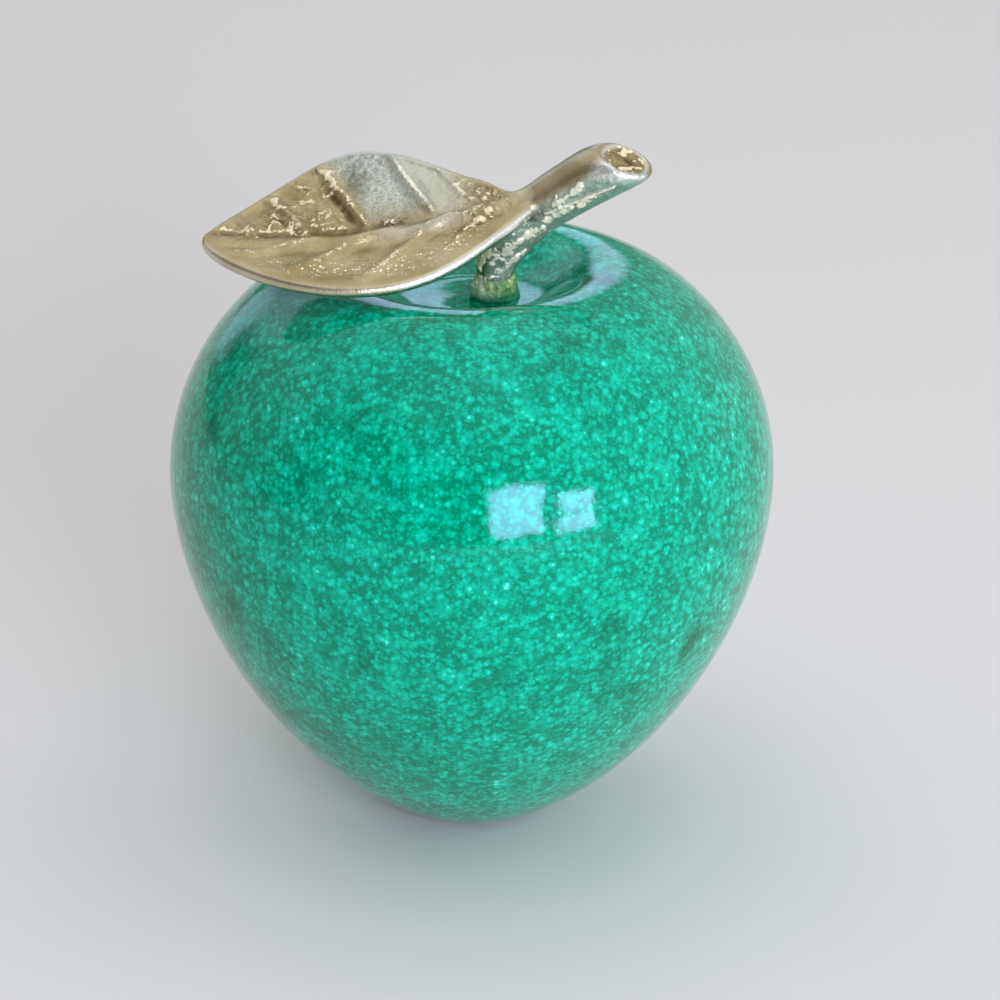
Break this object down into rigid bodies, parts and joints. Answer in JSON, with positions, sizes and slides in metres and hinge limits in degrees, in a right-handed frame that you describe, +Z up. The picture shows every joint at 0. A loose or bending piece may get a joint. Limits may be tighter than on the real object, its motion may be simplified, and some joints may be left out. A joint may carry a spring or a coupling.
{
  "type": "apple paperweight",
  "caption": "Polished green stone apple with a cast metal leaf and stem glued into its dimple, standing on a felt pad as a desk weight.",
  "frame": {"origin": "middle of the felt pad's underside, on the surface that the paperweight stands on", "axes": "+Z up along the apple's axis, -Y towards the viewer of the picture, the leaf points to -X and the stem to +X"},
  "size_m": [0.075, 0.075, 0.0896],
  "materials": {
    "stone": "polished",
    "casting": "pale gold plate over a rough sand cast skin, polished at the edges",
    "pin": "plain drawn rod",
    "epoxy": "cured glue, glossy",
    "felt": "pressed wool felt"
  },
  "bodies": {
    "root": {"stone_apple": "stone", "leaf_and_stem": "casting", "anchor_pin": "pin", "epoxy_bed": "epoxy", "felt_pad": "felt"}
  },
  "joints": []
}
